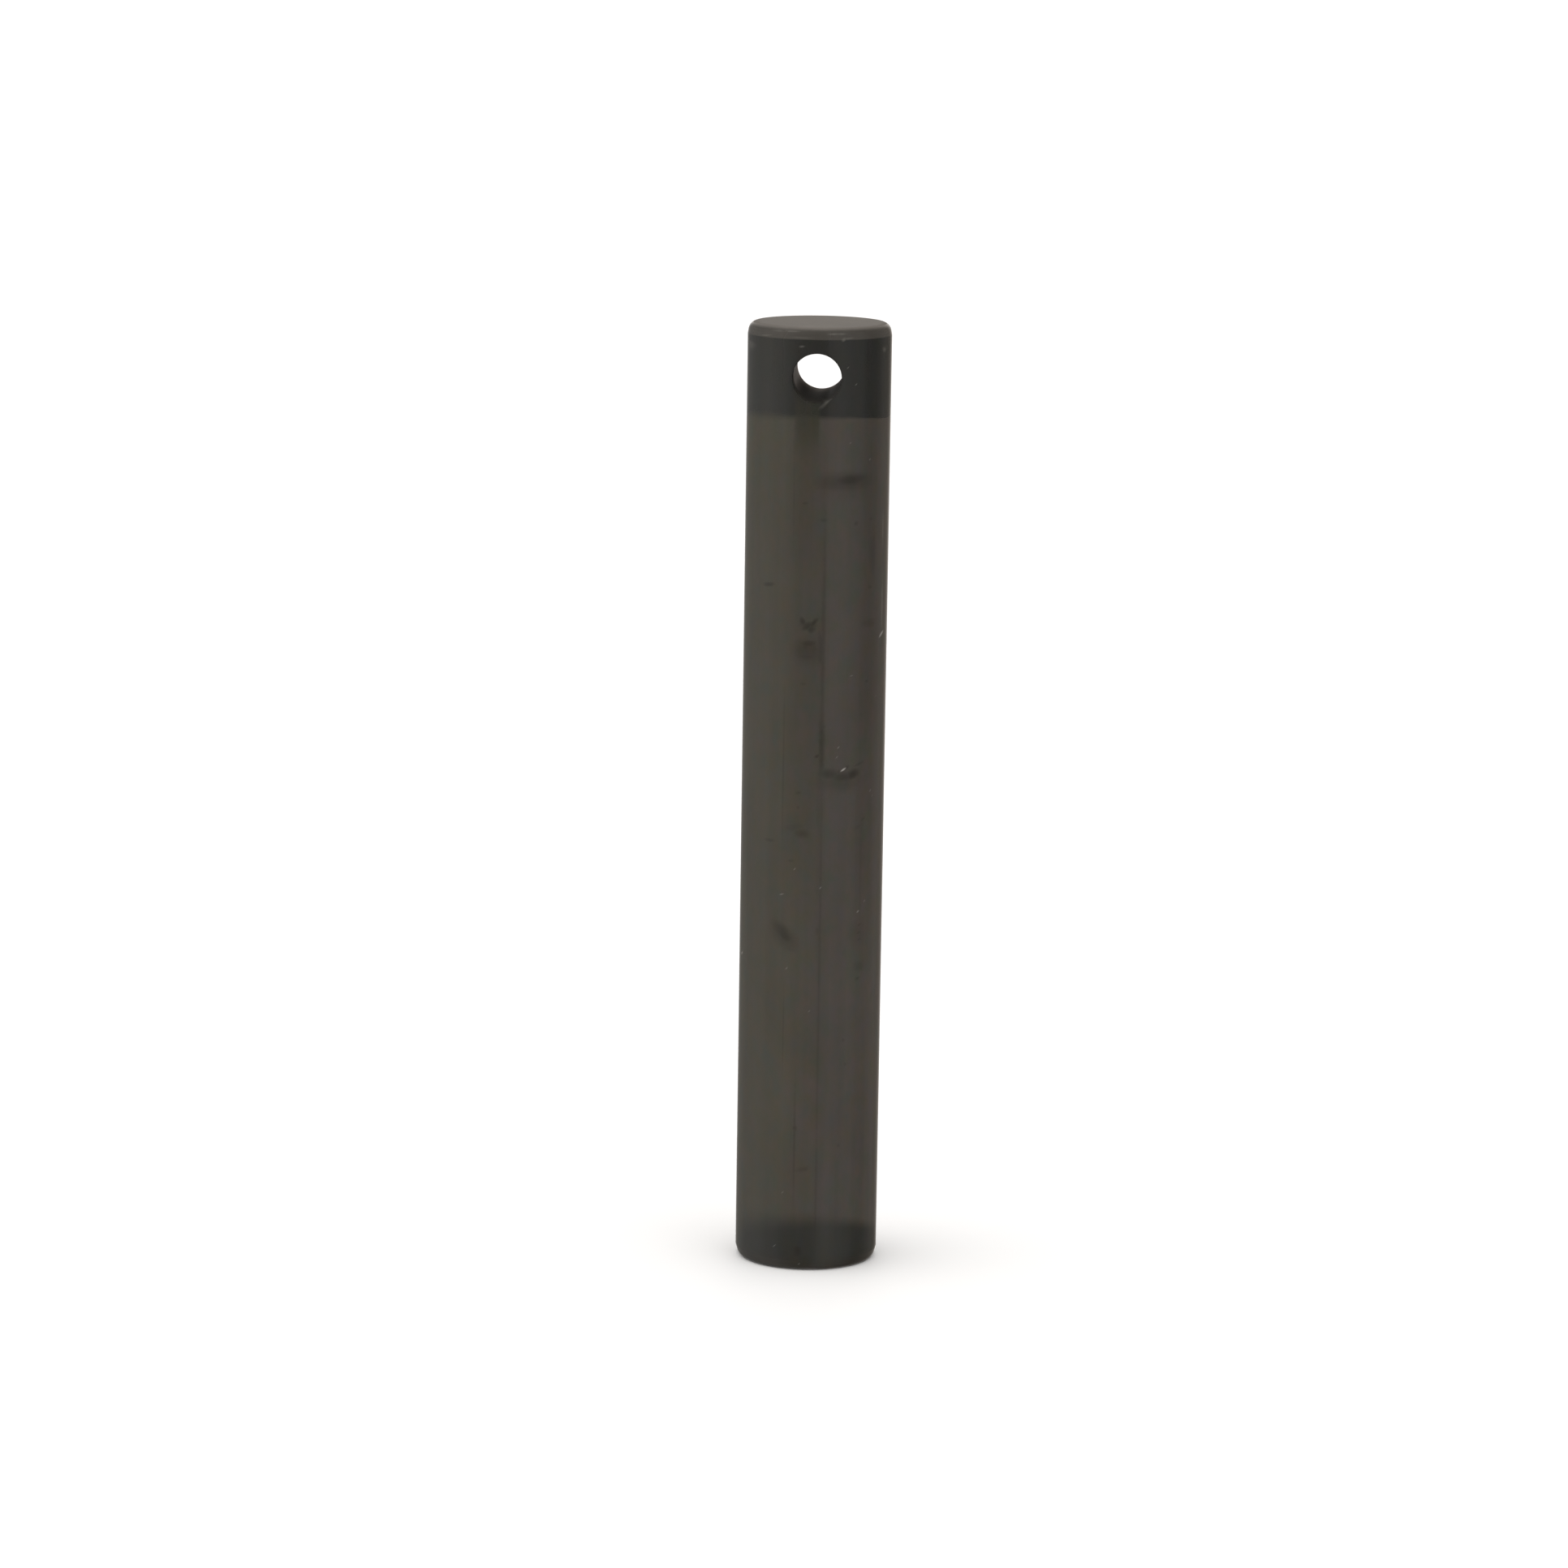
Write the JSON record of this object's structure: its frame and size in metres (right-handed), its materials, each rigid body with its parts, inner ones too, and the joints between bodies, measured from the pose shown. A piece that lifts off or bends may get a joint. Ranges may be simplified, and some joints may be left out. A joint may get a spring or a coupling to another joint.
{
  "type": "cross-drilled pivot pin",
  "caption": "Solid round steel pivot pin with bevelled ends and a bolt hole drilled across it near the head.",
  "frame": {"origin": "centre of the foot face, on the bar's axis", "axes": "+Z along the bar's axis from the foot to the drilled head, +Y along the bolt hole"},
  "size_m": [0.04, 0.04, 0.2655],
  "materials": {
    "oxided_steel": "dark oxide over fine turning marks, satin, with darker bands at both ends"
  },
  "bodies": {
    "root": {"pivot_pin": "oxided_steel"}
  },
  "joints": []
}
